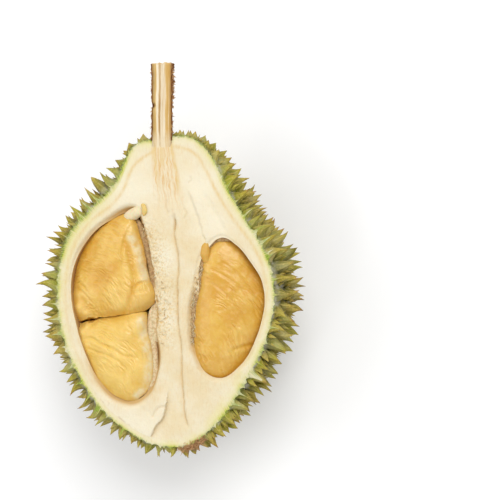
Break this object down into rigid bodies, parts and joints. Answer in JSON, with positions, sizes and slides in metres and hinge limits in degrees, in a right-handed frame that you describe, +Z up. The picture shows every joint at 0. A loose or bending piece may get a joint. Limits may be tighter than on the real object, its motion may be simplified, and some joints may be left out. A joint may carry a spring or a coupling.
{
  "type": "durian, cut half",
  "caption": "Half of a durian cut lengthwise, lying on its spiny back, with yellow pods of flesh in chambers in its white pith, and with half of its stalk.",
  "frame": {"origin": "the blunted spine under the middle of the fruit, on the surface that it rests on", "axes": "+Y from the fruit's tip to its stalk, +X to the right across the cut face, +Z up, out of the cut face"},
  "size_m": [0.2331, 0.3373, 0.1224],
  "materials": {
    "rind": "matt olive green spines with tan ridges and brown tips",
    "pith": "matt cream-white cut flesh of the husk",
    "aril": "moist, wrinkled, slightly translucent yellow flesh",
    "stalk": "rough brown bark round pale cut wood"
  },
  "bodies": {
    "root": {"husk": "rind", "stalk": "stalk", "aril_left_upper": "aril", "aril_left_lower": "aril", "aril_right": "aril"}
  },
  "joints": []
}
